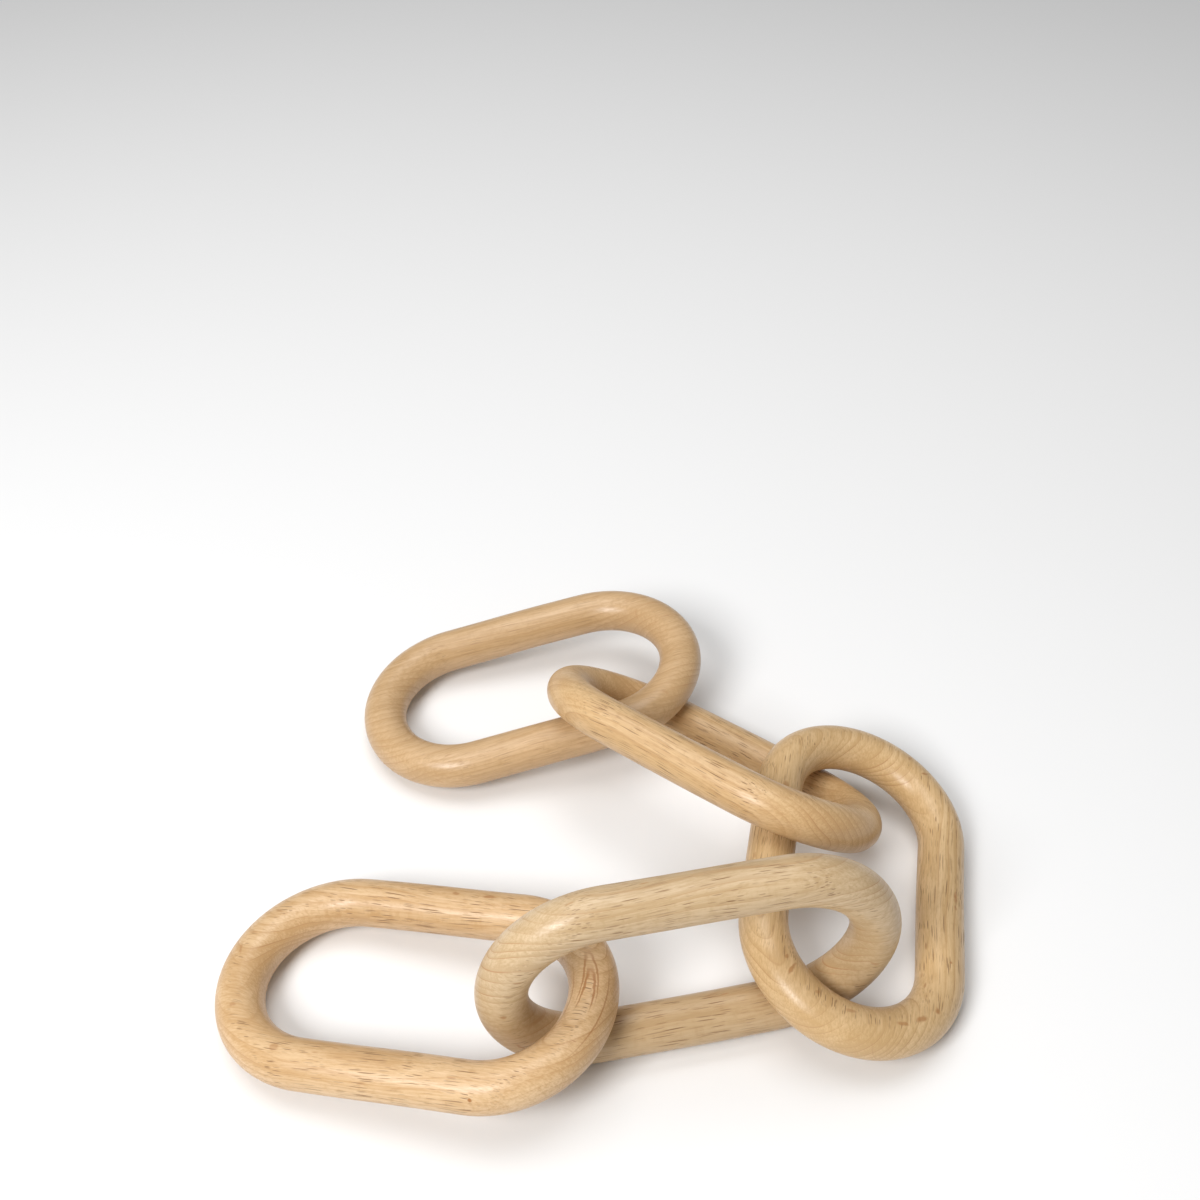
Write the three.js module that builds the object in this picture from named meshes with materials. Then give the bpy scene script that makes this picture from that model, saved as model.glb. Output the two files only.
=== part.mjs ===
// A wooden chain of five closed links, lying loose on a flat surface.
// Millimetres: +X to the right, +Y to the back, +Z up. The origin is the middle of the chain's
// footprint, on the surface that it lies on.

import * as THREE from 'three'

// Size of one link: two straight rails joined by two half-round bows, in a round rod
const LINK_LENGTH = 132
const LINK_WIDTH = 78
const ROD_DIAMETER = 16

// Fineness of the facets. An odd number of bow steps puts a flat facet at the tip of each bow
const ROD_SIDES = 16
const BOW_STEPS = 21

const ROD_RADIUS = ROD_DIAMETER / 2
const BOW_RADIUS = LINK_WIDTH / 2 - ROD_RADIUS
const HALF_RAIL = (LINK_LENGTH - LINK_WIDTH) / 2

// How each link lies, from one free end of the chain to the other. x and y place its middle, heading
// is the direction of its length, rise lifts its far tip off the surface, and lean rolls it about its
// length: 0 is flat and 90 stands on its rail. The colour is the tint of its own piece of beech
const LINKS = [
  { name: 'end_link_front', x: -62, y: -71.5, heading: -12, rise: 8.5, lean: 0, colour: 0xe2bf92 },
  { name: 'standing_link_front', x: 24, y: -75, heading: 13, rise: 0, lean: 90, colour: 0xdcbf9e },
  { name: 'corner_link_right', x: 81.5, y: -25.5, heading: 81, rise: 0, lean: 19, colour: 0xd9b88a },
  { name: 'leaning_link_back', x: 33.5, y: 21.5, heading: -35, rise: 0, lean: 141, colour: 0xdfba88 },
  { name: 'end_link_back', x: -32.5, y: 66, heading: 14, rise: 9, lean: 0, colour: 0xcfa97c },
]

// Points along the middle line of the rod, each with the direction that faces out of the link
function middleLine() {
  const stations = []
  for (const side of [1, -1]) {
    for (let step = 0; step <= BOW_STEPS; step += 1) {
      const turn = Math.PI * (step / BOW_STEPS - 0.5)
      const outward = new THREE.Vector3(side * Math.cos(turn), side * Math.sin(turn), 0)
      const middle = outward.clone().multiplyScalar(BOW_RADIUS)
      middle.x += side * HALF_RAIL
      stations.push({ middle, outward })
    }
  }
  return stations
}

// The rod carried once round the middle line. Its flats lie at ROD_RADIUS, and flatTurn turns them
// about the rod, so that the link lies on a flat and not on an edge
function linkGeometry(flatTurn) {
  const stations = middleLine()
  const cornerRadius = ROD_RADIUS / Math.cos(Math.PI / ROD_SIDES)
  const points = []
  for (const { middle, outward } of stations) {
    for (let side = 0; side < ROD_SIDES; side += 1) {
      const angle = (2 * Math.PI * (side + 0.5)) / ROD_SIDES + flatTurn
      const point = middle.clone().addScaledVector(outward, cornerRadius * Math.cos(angle))
      point.z += cornerRadius * Math.sin(angle)
      points.push(point)
    }
  }
  const faces = []
  for (let station = 0; station < stations.length; station += 1) {
    const here = station * ROD_SIDES
    const next = ((station + 1) % stations.length) * ROD_SIDES
    for (let side = 0; side < ROD_SIDES; side += 1) {
      const up = (side + 1) % ROD_SIDES
      faces.push(here + side, next + side, next + up)
      faces.push(here + side, next + up, here + up)
    }
  }
  const geometry = new THREE.BufferGeometry().setFromPoints(points)
  geometry.setIndex(faces)
  geometry.computeVertexNormals()
  return geometry
}

// One link, turned the way it lies and lowered until it touches the surface
function layLink({ name, x, y, heading, rise, lean, colour }) {
  const tilt = THREE.MathUtils.degToRad(rise + lean)
  const material = new THREE.MeshStandardMaterial({ color: colour, roughness: 0.55, metalness: 0 })
  const link = new THREE.Mesh(linkGeometry(tilt), material)
  link.name = name
  link.rotation.set(
    THREE.MathUtils.degToRad(lean),
    -THREE.MathUtils.degToRad(rise),
    THREE.MathUtils.degToRad(heading),
    'ZYX',
  )
  link.position.set(x, y, 0)
  link.position.z = -new THREE.Box3().setFromObject(link, true).min.z
  return link
}

const chain = new THREE.Group()
chain.add(...LINKS.map(layLink))

// The middle of the footprint goes to the origin
const footprint = new THREE.Box3().setFromObject(chain, true).getCenter(new THREE.Vector3())
chain.position.set(-footprint.x, -footprint.y, 0)

export default chain
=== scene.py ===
# A wooden chain of five closed oval links, lying loose on a pale table top.

import bpy
import numpy as np
from math import radians
from mathutils import Euler, Matrix, Vector


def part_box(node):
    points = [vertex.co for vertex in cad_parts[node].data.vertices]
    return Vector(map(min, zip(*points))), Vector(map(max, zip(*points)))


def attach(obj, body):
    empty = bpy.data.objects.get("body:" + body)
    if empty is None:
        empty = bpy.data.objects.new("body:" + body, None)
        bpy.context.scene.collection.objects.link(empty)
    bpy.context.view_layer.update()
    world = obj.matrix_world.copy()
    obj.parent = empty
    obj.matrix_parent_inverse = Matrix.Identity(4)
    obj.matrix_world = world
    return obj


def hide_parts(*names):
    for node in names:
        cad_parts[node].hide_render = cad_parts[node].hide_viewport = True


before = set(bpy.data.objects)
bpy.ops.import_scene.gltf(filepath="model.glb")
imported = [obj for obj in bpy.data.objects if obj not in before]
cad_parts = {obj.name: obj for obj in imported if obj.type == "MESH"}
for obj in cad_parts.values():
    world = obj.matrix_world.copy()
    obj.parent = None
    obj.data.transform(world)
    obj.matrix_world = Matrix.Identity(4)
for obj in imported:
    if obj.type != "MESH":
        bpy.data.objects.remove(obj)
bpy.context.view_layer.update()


# The end link at the front.
# One closed oval of pale beech, cut out of a board, rounded over to a rod and sanded smooth. It
# lies almost flat, with its right bow on the lower rail of the next link.

link_length = 0.132
link_width = 0.078
rod_radius = 0.008
bow_radius = link_width / 2 - rod_radius
half_rail = (link_length - link_width) / 2


def rod_surface(phase, hand=0.00016, around=64, along=420):
    """The surface of one link, flat about its own middle: rows run along the loop, columns round the rod.

    The middle line is a straight rail, a half circle, the other rail and the other half circle. A point
    of the surface is the middle line, plus the outward direction times cosine, plus up times sine, times
    the rod's radius. Three slow waves along the loop, small as a sander leaves them, shift the middle
    line and make the section a little oval, and the radius never passes the true rod's.
    """
    rail = 2 * half_rail
    bow = np.pi * bow_radius
    run = np.linspace(0, 2 * (rail + bow), along, endpoint=False)
    lap = run / (2 * (rail + bow)) * 2 * np.pi
    turn = np.select(
        [run < rail, run < rail + bow, run < 2 * rail + bow],
        [0 * run, (run - rail) / bow_radius, 0 * run + np.pi],
        np.pi + (run - 2 * rail - bow) / bow_radius,
    )
    outward = np.stack([np.sin(turn), -np.cos(turn), 0 * turn], 1)
    bow_middle = np.select(
        [run < rail, run < rail + bow, run < 2 * rail + bow],
        [run - half_rail, half_rail + 0 * run, half_rail - (run - rail - bow)],
        -half_rail,
    )
    middle = outward * bow_radius
    middle[:, 0] += bow_middle
    middle += outward * (hand * (np.sin(2 * lap + phase) + 0.6 * np.sin(5 * lap + 2 * phase)))[:, None]
    middle[:, 2] += hand * 0.7 * np.sin(3 * lap + 3 * phase)
    angle = np.linspace(0, 2 * np.pi, around, endpoint=False)[None, :]
    oval = 1 + np.cos(2 * angle + phase + 1.5 * np.sin(lap[:, None] + phase))
    flats = 1 + np.cos(5 * angle + 2 * np.sin(2 * lap[:, None] - phase))
    radius = rod_radius - hand * (0.45 * oval + 0.2 * flats)
    up = np.array([0.0, 0.0, 1.0])
    return (
        middle[:, None, :]
        + outward[:, None, :] * (radius * np.cos(angle))[..., None]
        + up * (radius * np.sin(angle))[..., None]
    )


def lay_link(name, node, heading, rise, lean, phase):
    """Turns the surface the way the link lies, puts it where its solid is and lowers it to the table."""
    low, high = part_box(node)
    middle = (low + high) / 2
    turned = Euler((radians(lean), -radians(rise), radians(heading)), "XYZ")
    grid = rod_surface(phase)
    rows, columns = grid.shape[:2]
    points = grid.reshape(-1, 3) @ np.array(turned.to_matrix()).T + np.array(middle)
    points[:, 2] -= points[:, 2].min()
    row, column = np.meshgrid(np.arange(rows), np.arange(columns), indexing="ij")
    next_row, next_column = (row + 1) % rows, (column + 1) % columns
    corners = [row * columns + column, next_row * columns + column,
               next_row * columns + next_column, row * columns + next_column]
    faces = np.stack(corners, -1).reshape(-1, 4)
    mesh = bpy.data.meshes.new(name)
    mesh.from_pydata(points.tolist(), [], faces.tolist())
    mesh.shade_smooth()
    link = bpy.data.objects.new(name, mesh)
    bpy.context.scene.collection.objects.link(link)
    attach(link, "root")
    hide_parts(node)
    return link, middle, turned


def join(tree, kind, inputs=(), **settings):
    """Adds one node: settings are its own properties, inputs a dict of socket to value or to another output."""
    made = tree.nodes.new(kind)
    for key, value in settings.items():
        setattr(made, key, value)
    for key, value in dict(inputs).items():
        if isinstance(value, bpy.types.NodeSocket):
            tree.links.new(value, made.inputs[key])
        else:
            made.inputs[key].default_value = value
    return made


def sums(tree, operation, first, second=0.5, third=0.5, clamp=False):
    """One arithmetic step on values."""
    made = join(tree, "ShaderNodeMath", {0: first, 1: second, 2: third}, operation=operation, use_clamp=clamp)
    return made.outputs[0]


def ramp(tree, value, start, end, low=0.0, high=1.0, smooth=True):
    """Carries a value from start..end to low..high, held at both ends."""
    made = join(tree, "ShaderNodeMapRange", {"Value": value, "From Min": start, "From Max": end,
                                             "To Min": low, "To Max": high})
    made.interpolation_type = "SMOOTHSTEP" if smooth else "LINEAR"
    return made.outputs["Result"]


def blend(tree, amount, first, second, how="MIX"):
    """Mixes two colours by an amount."""
    made = tree.nodes.new("ShaderNodeMix")
    made.data_type = "RGBA"
    made.blend_type = how
    for socket, value in ((made.inputs[0], amount), (made.inputs[6], first), (made.inputs[7], second)):
        if isinstance(value, bpy.types.NodeSocket):
            tree.links.new(value, socket)
        else:
            socket.default_value = value
    return made.outputs[2]


def beech_group():
    """Beech as a solid: the pith runs along X through the origin, in millimetres.

    Growth rings are thin darker lines at even steps of the distance from the pith. Rays are thin
    ribbons, short along the grain and long across the rings: they show as dark dashes along the
    grain, and as brown patches on a face that cuts across the rings. Neither shows on end grain,
    which has a fine hatch of pores and rays instead.
    """
    tree = bpy.data.node_groups.new("beech", "ShaderNodeTree")
    face = tree.interface
    for label, kind, value in (
        ("Place", "NodeSocketVector", (0, 0, 0)),
        ("Grain", "NodeSocketVector", (1, 0, 0)),
        ("Pale", "NodeSocketColor", (0.75, 0.53, 0.31, 1)),
        ("Warm", "NodeSocketColor", (0.60, 0.38, 0.18, 1)),
        ("Dash", "NodeSocketColor", (0.20, 0.10, 0.035, 1)),
        ("Patch", "NodeSocketColor", (0.42, 0.22, 0.09, 1)),
        ("Dashes", "NodeSocketFloat", 1.0),
        ("Patches", "NodeSocketFloat", 1.0),
        ("Rings", "NodeSocketFloat", 1.0),
        ("Ring Width", "NodeSocketFloat", 2.3),
        ("Painted Shade", "NodeSocketFloat", 0.0),
    ):
        face.new_socket(name=label, in_out="INPUT", socket_type=kind).default_value = value
    for label, kind in (("Colour", "NodeSocketColor"), ("Gloss", "NodeSocketFloat"), ("Relief", "NodeSocketFloat")):
        face.new_socket(name=label, in_out="OUTPUT", socket_type=kind)
    given = tree.nodes.new("NodeGroupInput").outputs
    result = tree.nodes.new("NodeGroupOutput")

    def scaled(vector, along, ring, across):
        return join(tree, "ShaderNodeMapping", {"Vector": vector, "Scale": (1 / along, 1 / ring, 1 / across)}).outputs[0]

    # how far the surface is end grain: the tips of the bows, where it faces along the grain
    facing = tree.nodes.new("ShaderNodeTexCoord").outputs["Normal"]
    facing = join(tree, "ShaderNodeVectorMath", {0: facing, 1: given["Grain"]}, operation="DOT_PRODUCT").outputs["Value"]
    facing = sums(tree, "ABSOLUTE", facing)
    end_grain = ramp(tree, facing, 0.3, 0.85)
    long_grain = ramp(tree, facing, 0.08, 0.42, 1.0, 0.0)

    # the grain wanders by a millimetre or two over the length of a link
    slow = join(tree, "ShaderNodeTexNoise", {"Vector": scaled(given["Place"], 50, 20, 20), "Scale": 1.0, "Detail": 1.0})
    wander = join(tree, "ShaderNodeVectorMath", {0: slow.outputs["Color"], 1: (0.5, 0.5, 0.5)}, operation="SUBTRACT")
    wander = join(tree, "ShaderNodeVectorMath", {0: wander.outputs[0], 1: (0.0, 7.0, 7.0)}, operation="MULTIPLY")
    wandered = join(tree, "ShaderNodeVectorMath", {0: given["Place"], 1: wander.outputs[0]}, operation="ADD").outputs[0]
    parts = join(tree, "ShaderNodeSeparateXYZ", {0: wandered}).outputs
    across_square = sums(tree, "ADD", sums(tree, "MULTIPLY", parts[1], parts[1]), sums(tree, "MULTIPLY", parts[2], parts[2]))
    radial = sums(tree, "SQRT", across_square)
    tangent = sums(tree, "MULTIPLY", sums(tree, "ARCTAN2", parts[2], parts[1]), 90.0)
    wood = join(tree, "ShaderNodeCombineXYZ", {0: parts[0], 1: radial, 2: tangent}).outputs[0]

    # growth rings: uneven widths, each ring darkening slowly to its own thin dark edge
    uneven = join(tree, "ShaderNodeTexNoise", {"Vector": scaled(wood, 400, 5, 90), "Scale": 1.0, "Detail": 2.0}).outputs[0]
    count = sums(tree, "ADD", sums(tree, "DIVIDE", radial, given["Ring Width"]), sums(tree, "MULTIPLY", uneven, 1.8))
    within = sums(tree, "FRACT", count, 0.0)
    strength = join(tree, "ShaderNodeTexNoise", {"Vector": scaled(wood, 40, 8, 25), "Scale": 1.0, "Detail": 1.0}).outputs[0]
    strength = sums(tree, "MULTIPLY", ramp(tree, strength, 0.35, 0.65, 0.2, 1.0), given["Rings"])
    body = sums(tree, "MULTIPLY", ramp(tree, within, 0.3, 0.9), ramp(tree, within, 0.94, 1.0, 1.0, 0.0))
    edge = sums(tree, "MULTIPLY", ramp(tree, within, 0.86, 0.92), ramp(tree, within, 0.93, 0.99, 1.0, 0.0))
    body = sums(tree, "MULTIPLY", body, strength)
    edge = sums(tree, "MULTIPLY", sums(tree, "MULTIPLY", edge, strength), ramp(tree, end_grain, 0.0, 0.6, 0.4, 1.0))

    # rays: dark dashes along the grain, some missing and of uneven strength, and wider patches
    def spots(along, ring, across, keep, size):
        cells = join(tree, "ShaderNodeTexVoronoi", {"Vector": scaled(wood, along, ring, across), "Scale": 1.0, "Randomness": 1.0})
        shade = join(tree, "ShaderNodeSeparateColor", {0: cells.outputs["Color"]}).outputs
        spot = ramp(tree, cells.outputs["Distance"], size * 0.55, size, 1.0, 0.0)
        kept = ramp(tree, shade[0], 1 - keep, 1 - keep * 0.3, 0.0, 1.0, False)
        return sums(tree, "MULTIPLY", spot, kept)

    long_dashes = spots(15.0, 0.62, 0.44, 0.70, 0.34)
    short_dashes = spots(7.0, 0.48, 0.34, 0.55, 0.36)
    dashes = sums(tree, "MAXIMUM", long_dashes, sums(tree, "MULTIPLY", short_dashes, 0.6))
    dashes = sums(tree, "MULTIPLY", sums(tree, "MULTIPLY", dashes, given["Dashes"]), long_grain)
    patches = sums(tree, "MULTIPLY", spots(5.5, 22.0, 0.8, 0.06, 0.34), given["Patches"])
    patches = sums(tree, "MULTIPLY", patches, ramp(tree, end_grain, 0.0, 1.0, 1.0, 0.4))

    # fine fibres along the grain, hatch on end grain, and broad bands of paler and warmer wood
    fibre = join(tree, "ShaderNodeTexNoise", {"Vector": scaled(wood, 16, 0.7, 0.45), "Scale": 1.0, "Detail": 3.0, "Roughness": 0.7}).outputs[0]
    hatch = join(tree, "ShaderNodeTexNoise", {"Vector": scaled(wood, 2.2, 9, 0.32), "Scale": 1.0, "Detail": 2.0, "Roughness": 0.7}).outputs[0]
    broad = join(tree, "ShaderNodeTexNoise", {"Vector": scaled(wood, 80, 7, 14), "Scale": 1.0, "Detail": 2.0}).outputs[0]
    tone = sums(tree, "ADD", ramp(tree, broad, 0.3, 0.7, 0.0, 0.5), ramp(tree, fibre, 0.35, 0.7, 0.0, 0.6))
    tone = sums(tree, "ADD", tone, ramp(tree, hatch, 0.45, 0.8, 0.0, 0.4))
    tone = sums(tree, "ADD", tone, sums(tree, "MULTIPLY", body, 0.4))
    tone = sums(tree, "ADD", tone, sums(tree, "MULTIPLY", end_grain, 0.15), clamp=True)
    colour = blend(tree, tone, given["Pale"], given["Warm"])
    # painted shade: where this input is above zero the colour goes towards a darker, warmer brown, standing in for
    # shade and warm reflected light
    shaded_warm = join(tree, "ShaderNodeVectorMath", {0: given["Warm"], 1: (0.84, 0.75, 0.60)}, operation="MULTIPLY").outputs[0]
    colour = blend(tree, given["Painted Shade"], colour, shaded_warm)
    colour = blend(tree, sums(tree, "MULTIPLY", edge, 0.75), colour, given["Patch"])
    colour = blend(tree, sums(tree, "MULTIPLY", patches, 0.7), colour, given["Patch"])
    colour = blend(tree, sums(tree, "MULTIPLY", dashes, 0.85), colour, given["Dash"])
    tree.links.new(colour, result.inputs["Colour"])
    tree.links.new(sums(tree, "ADD", ramp(tree, fibre, 0.3, 0.8, 0.30, 0.42), sums(tree, "MULTIPLY", dashes, 0.25)), result.inputs["Gloss"])
    relief = sums(tree, "SUBTRACT", sums(tree, "MULTIPLY", fibre, 0.6), dashes)
    tree.links.new(sums(tree, "SUBTRACT", relief, sums(tree, "MULTIPLY", edge, 0.3)), result.inputs["Relief"])
    return tree


def mark_group():
    """One knot, streak or thin line of darker wood: 1 inside an ellipsoid, falling to 0 at its rim."""
    tree = bpy.data.node_groups.new("wood_mark", "ShaderNodeTree")
    for label, kind in (("Place", "NodeSocketVector"), ("Centre", "NodeSocketVector"), ("Turn", "NodeSocketVector"),
                        ("Half Size", "NodeSocketVector"), ("Strength", "NodeSocketFloat")):
        tree.interface.new_socket(name=label, in_out="INPUT", socket_type=kind)
    tree.interface.new_socket(name="Mask", in_out="OUTPUT", socket_type="NodeSocketFloat")
    given = tree.nodes.new("NodeGroupInput").outputs
    result = tree.nodes.new("NodeGroupOutput")
    inside = join(tree, "ShaderNodeMapping", {"Vector": given["Place"], "Location": given["Centre"], "Rotation": given["Turn"],
                                              "Scale": given["Half Size"]}, vector_type="TEXTURE")
    reach = join(tree, "ShaderNodeVectorMath", {0: inside.outputs[0]}, operation="LENGTH").outputs["Value"]
    tree.links.new(sums(tree, "MULTIPLY", ramp(tree, reach, 0.45, 1.0, 1.0, 0.0), given["Strength"]), result.inputs["Mask"])
    return tree


beech = beech_group()
wood_mark = mark_group()


def beech_finish(name, middle, turned, pith, pale, warm, dashes=1.0, patches=1.0, rings=1.0, ring_width=2.3,
                 painted_shade=None, marks=()):
    """Sanded, barely waxed beech for one link. pith is where the middle of the tree lay, and each
    mark is a centre, half sizes, a turn in degrees about the link's upright and a strength. All are
    in millimetres from the link's own middle: along it, across it and up from its plane."""
    finish = bpy.data.materials.new(name)
    finish.use_nodes = True
    tree = finish.node_tree
    shader = tree.nodes["Principled BSDF"]
    place = tree.nodes.new("ShaderNodeTexCoord")
    # a Mapping of the Texture kind takes the link's turn off, and counts in millimetres
    flat = join(tree, "ShaderNodeMapping", {"Vector": place.outputs["Object"], "Location": middle,
                                            "Rotation": turned, "Scale": (0.001, 0.001, 0.001)}, vector_type="TEXTURE")
    grown = join(tree, "ShaderNodeVectorMath", {0: flat.outputs[0], 1: pith}, operation="SUBTRACT")
    wood = join(tree, "ShaderNodeGroup", {}, node_tree=beech)
    tree.links.new(grown.outputs[0], wood.inputs["Place"])
    for label, value in (("Grain", turned.to_matrix() @ Vector((1, 0, 0))), ("Pale", (*pale, 1)), ("Warm", (*warm, 1)),
                         ("Dashes", dashes), ("Patches", patches), ("Rings", rings), ("Ring Width", ring_width)):
        wood.inputs[label].default_value = value
    # painted shade: the colour goes darker and warmer across the link, from one given offset to the other, for a rail
    # that lies in shade
    if painted_shade:
        side = join(tree, "ShaderNodeSeparateXYZ", {0: flat.outputs[0]}).outputs[1]
        tree.links.new(ramp(tree, side, painted_shade[0], painted_shade[1], 0.0, painted_shade[2]), wood.inputs["Painted Shade"])
    colour = wood.outputs["Colour"]
    if marks:
        ragged = join(tree, "ShaderNodeTexNoise", {"Vector": flat.outputs[0], "Scale": 0.5, "Detail": 2.0}).outputs["Color"]
        ragged = join(tree, "ShaderNodeVectorMath", {0: ragged, 1: (0.5, 0.5, 0.5)}, operation="SUBTRACT").outputs[0]
        ragged = join(tree, "ShaderNodeVectorMath", {0: ragged, 1: (1.3, 1.3, 0.15)}, operation="MULTIPLY").outputs[0]
        ragged = join(tree, "ShaderNodeVectorMath", {0: ragged, 1: flat.outputs[0]}, operation="ADD").outputs[0]
        mask = 0.0
        for centre, half_size, turn, strength in marks:
            mark = join(tree, "ShaderNodeGroup", {}, node_tree=wood_mark)
            tree.links.new(ragged, mark.inputs["Place"])
            turn = (radians(turn), 0, 0) if half_size[2] < 0.5 else (0, 0, radians(turn))
            for label, value in (("Centre", centre), ("Half Size", half_size), ("Turn", turn), ("Strength", strength)):
                mark.inputs[label].default_value = value
            mask = sums(tree, "MAXIMUM", mark.outputs["Mask"], mask)
        colour = blend(tree, mask, colour, (0.36, 0.16, 0.05, 1))
    bump = join(tree, "ShaderNodeBump", {"Height": wood.outputs["Relief"], "Strength": 0.35, "Distance": 0.00012})
    tree.links.new(colour, shader.inputs["Base Color"])
    tree.links.new(wood.outputs["Gloss"], shader.inputs["Roughness"])
    tree.links.new(bump.outputs[0], shader.inputs["Normal"])
    shader.inputs["IOR"].default_value = 1.48
    return finish


front_end, middle, turned = lay_link("end_link_front_wood", "end_link_front", heading=-12, rise=8.5, lean=0, phase=0.4)
front_end.data.materials.append(beech_finish(
    "beech_end_front", middle, turned, pith=(-30, -45, -100), pale=(0.71, 0.50, 0.29), warm=(0.53, 0.325, 0.15),
    marks=(
        ((57.0, 6.0, 7.72), (9, 13, 0.12), 1.8, 0.75),    # a flame along the top of the right bow, where a
        ((58.0, 2.0, 7.86), (9, 10, 0.10), 1.2, 0.85),    # ring only just breaks the surface, and one inside it
        ((57.0, -3.0, 5.9), (14, 21, 0.28), 0, 0.7),      # the next ring, a thin dark line on either side
        ((31.3, -37.6, 4.2), (0.8, 0.8, 0.8), 0, 1.0),    # a pin knot
        ((-32.9, -31.1, 8), (1.9, 1.5, 1.5), 0, 0.5),     # brown spots on the upper side
        ((5.2, 32.6, 8), (1.6, 0.9, 1.5), 0, 0.6),
        ((16.8, 32.6, 8), (3.2, 0.9, 1.5), 0, 0.7),
        ((-52.7, -18.5, 8), (1.5, 1.0, 1.5), 0, 0.45),
        ((-59.2, 2.5, 8), (0.7, 3.0, 1.5), 20, 0.4),
    )))


# The standing link.
# The same oval, from a paler and greyer board. It stands on one rail, with a neighbour's bow
# through each end of its loop. Its lower rail gets painted shade: a darker, warmer colour that stands
# in for the shade under the upper rail and the warm light reflected onto it.

standing, middle, turned = lay_link("standing_link_front_wood", "standing_link_front", heading=13, rise=0, lean=90, phase=2.1)
standing.data.materials.append(beech_finish(
    "beech_standing", middle, turned, pith=(40, 110, -60), pale=(0.66, 0.50, 0.315), warm=(0.50, 0.345, 0.185), rings=1.5,
    ring_width=2.8, painted_shade=(15, -30, 0.45),
    marks=(
        ((-58.6, 0, 8), (1.4, 1.0, 1.5), 0, 0.6),
        ((-53.9, -17.2, 8), (0.5, 3.2, 1.2), 35, 0.6),
        ((-50.5, -18.5, 8), (0.5, 2.6, 1.2), -40, 0.5),
    )))


# The corner link.
# The same oval again, in a cooler tan. It lies on its right rail, with its left rail propped up
# on the leaning link, and turns the chain round from the front row to the back row.

corner, middle, turned = lay_link("corner_link_right_wood", "corner_link_right", heading=81, rise=0, lean=19, phase=3.7)
corner.data.materials.append(beech_finish(
    "beech_corner", middle, turned, pith=(200, 75, 85), pale=(0.69, 0.485, 0.265), warm=(0.53, 0.34, 0.155), rings=1.2,
    marks=(
        ((21.5, 31.3, 8), (2.6, 1.5, 1.5), 0, 0.55),      # three ray patches down the left rail
        ((0.5, 31.9, 8), (2.8, 0.9, 1.5), -25, 0.6),
        ((-17.5, 31.9, 8), (1.3, 1.3, 1.5), 0, 0.55),
        ((-50.5, 22.6, 8), (4.2, 0.9, 1.5), -25, 0.7),    # a wedge at the near bow, with its eye
        ((-46.5, 24.6, 8), (1.0, 1.0, 1.5), 0, 0.6),
        ((-55.2, 13.6, 8), (0.8, 1.0, 1.5), 0, 0.5),      # patches round the near bow
        ((-57.6, 2.2, 8), (0.7, 2.4, 1.5), 10, 0.5),
        ((-55.3, -14.9, 8), (0.8, 2.6, 1.5), 15, 0.6),
        ((-51.2, -21.3, 8), (1.3, 3.0, 1.5), 35, 0.7),
        ((-46.2, -26.7, 8), (1.5, 1.6, 1.5), 30, 0.75),
        ((0.4, -32.6, 8), (2.4, 1.0, 1.5), 0, 0.6),       # spots on the right rail
        ((-3.5, -32.6, 8), (1.3, 0.8, 1.5), 0, 0.5),
        ((-26.1, -31.0, 8), (0.9, 0.6, 1.5), 0, 0.7),
        ((51.8, -20.6, 8), (0.7, 2.4, 1.5), 25, 0.7),     # a small crease at the far bow
    )))


# The leaning link.
# The same oval, in colours a little warmer and more golden than the others: partly the board's own
# tone, partly painted warm light reflected onto this link. It leans over the corner link's rail with
# its upper rail towards the viewer.

leaning, middle, turned = lay_link("leaning_link_back_wood", "leaning_link_back", heading=-35, rise=0, lean=141, phase=5.2)
leaning.data.materials.append(beech_finish(
    "beech_leaning", middle, turned, pith=(-160, 85, 60), pale=(0.68, 0.47, 0.25), warm=(0.52, 0.32, 0.145), dashes=1.1))


# The end link at the back.
# The other free end of the chain, in a plainer board with few rays. Its colour is a little darker
# than the front link's, which is painted shade, and a little warmer, which is the board's own tone.
# It lies almost flat, with its right bow on the leaning link's lower rail.

back_end, middle, turned = lay_link("end_link_back_wood", "end_link_back", heading=14, rise=9, lean=0, phase=1.3)
back_end.data.materials.append(beech_finish(
    "beech_end_back", middle, turned, pith=(90, -90, -60), pale=(0.62, 0.42, 0.235), warm=(0.49, 0.31, 0.15),
    dashes=0.4, patches=0.5,
    marks=(
        ((52, 24, 4), (12, 0.35, 12), 0, 0.5),
        ((57, 19, 4), (12, 0.3, 12), 0, 0.5),
        ((61, 10, 4), (12, 0.3, 12), 0, 0.4),
    )))


# Table, light and camera.
# A plain pale table top, a broad soft lamp above and to the left, and a viewpoint that looks
# down on the chain from the front.

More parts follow.
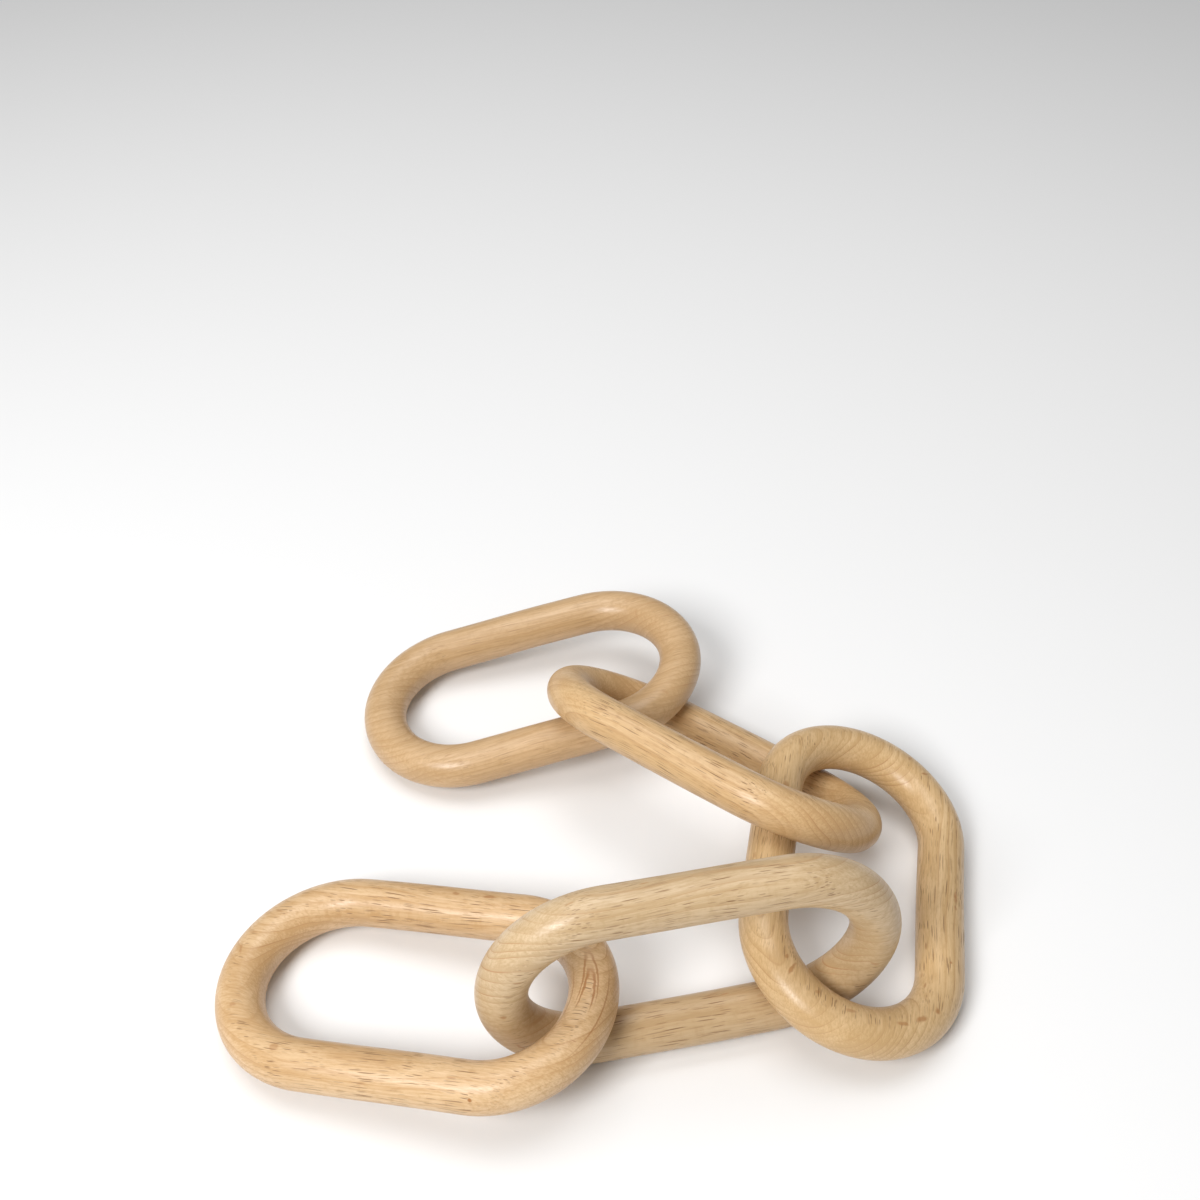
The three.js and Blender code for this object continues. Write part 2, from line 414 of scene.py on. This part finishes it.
table_half = 3.0
table_mesh = bpy.data.meshes.new("table")
table_mesh.from_pydata([(-table_half, -table_half, 0), (table_half, -table_half, 0),
                        (table_half, table_half, 0), (-table_half, table_half, 0)], [], [(0, 1, 2, 3)])
table = bpy.data.objects.new("table", table_mesh)
bpy.context.scene.collection.objects.link(table)
table_paint = bpy.data.materials.new("table_paint")
table_paint.use_nodes = True
table_paint.node_tree.nodes["Principled BSDF"].inputs["Base Color"].default_value = (0.86, 0.86, 0.86, 1)
table_paint.node_tree.nodes["Principled BSDF"].inputs["Roughness"].default_value = 0.9
table_mesh.materials.append(table_paint)


def soft_lamp(name, place, aim, size, power):
    """A square lamp at place, turned to aim."""
    lamp = bpy.data.lights.new(name, "AREA")
    lamp.size = size
    lamp.energy = power
    held = bpy.data.objects.new(name, lamp)
    held.location = place
    held.rotation_euler = (Vector(aim) - Vector(place)).to_track_quat("-Z", "Y").to_euler()
    bpy.context.scene.collection.objects.link(held)


soft_lamp("lamp_front_left", (-0.52, -0.76, 0.88), (0, 0, 0), 0.45, 12.0)
soft_lamp("lamp_above", (-0.15, 0.15, 1.3), (0, 0, 0), 1.0, 9.0)

room = bpy.data.worlds.new("room")
room.use_nodes = True
room.node_tree.nodes["Background"].inputs["Color"].default_value = (1, 1, 1, 1)
room.node_tree.nodes["Background"].inputs["Strength"].default_value = 0.28
bpy.context.scene.world = room
bpy.context.scene.view_settings.view_transform = "Standard"

# the viewpoint: 41 degrees down, almost straight from the front, half a metre away
view_yaw, view_pitch, view_roll = -0.0192, 0.7135, 0.0051
ahead = Vector((np.sin(view_yaw) * np.cos(view_pitch), np.cos(view_yaw) * np.cos(view_pitch), -np.sin(view_pitch)))
right = Vector((np.cos(view_yaw), -np.sin(view_yaw), 0))
up = right.cross(ahead)
rolled_right = np.cos(view_roll) * right + np.sin(view_roll) * up
rolled_up = -np.sin(view_roll) * right + np.cos(view_roll) * up
lens = bpy.data.cameras.new("viewpoint")
lens.lens = 44.41
lens.sensor_width = 36.0
viewpoint = bpy.data.objects.new("viewpoint", lens)
viewpoint.matrix_world = Matrix.Translation((0.00286, -0.3394, 0.4135)) @ Matrix(
    (rolled_right, rolled_up, -ahead)).transposed().to_4x4()
bpy.context.scene.collection.objects.link(viewpoint)
bpy.context.scene.camera = viewpoint
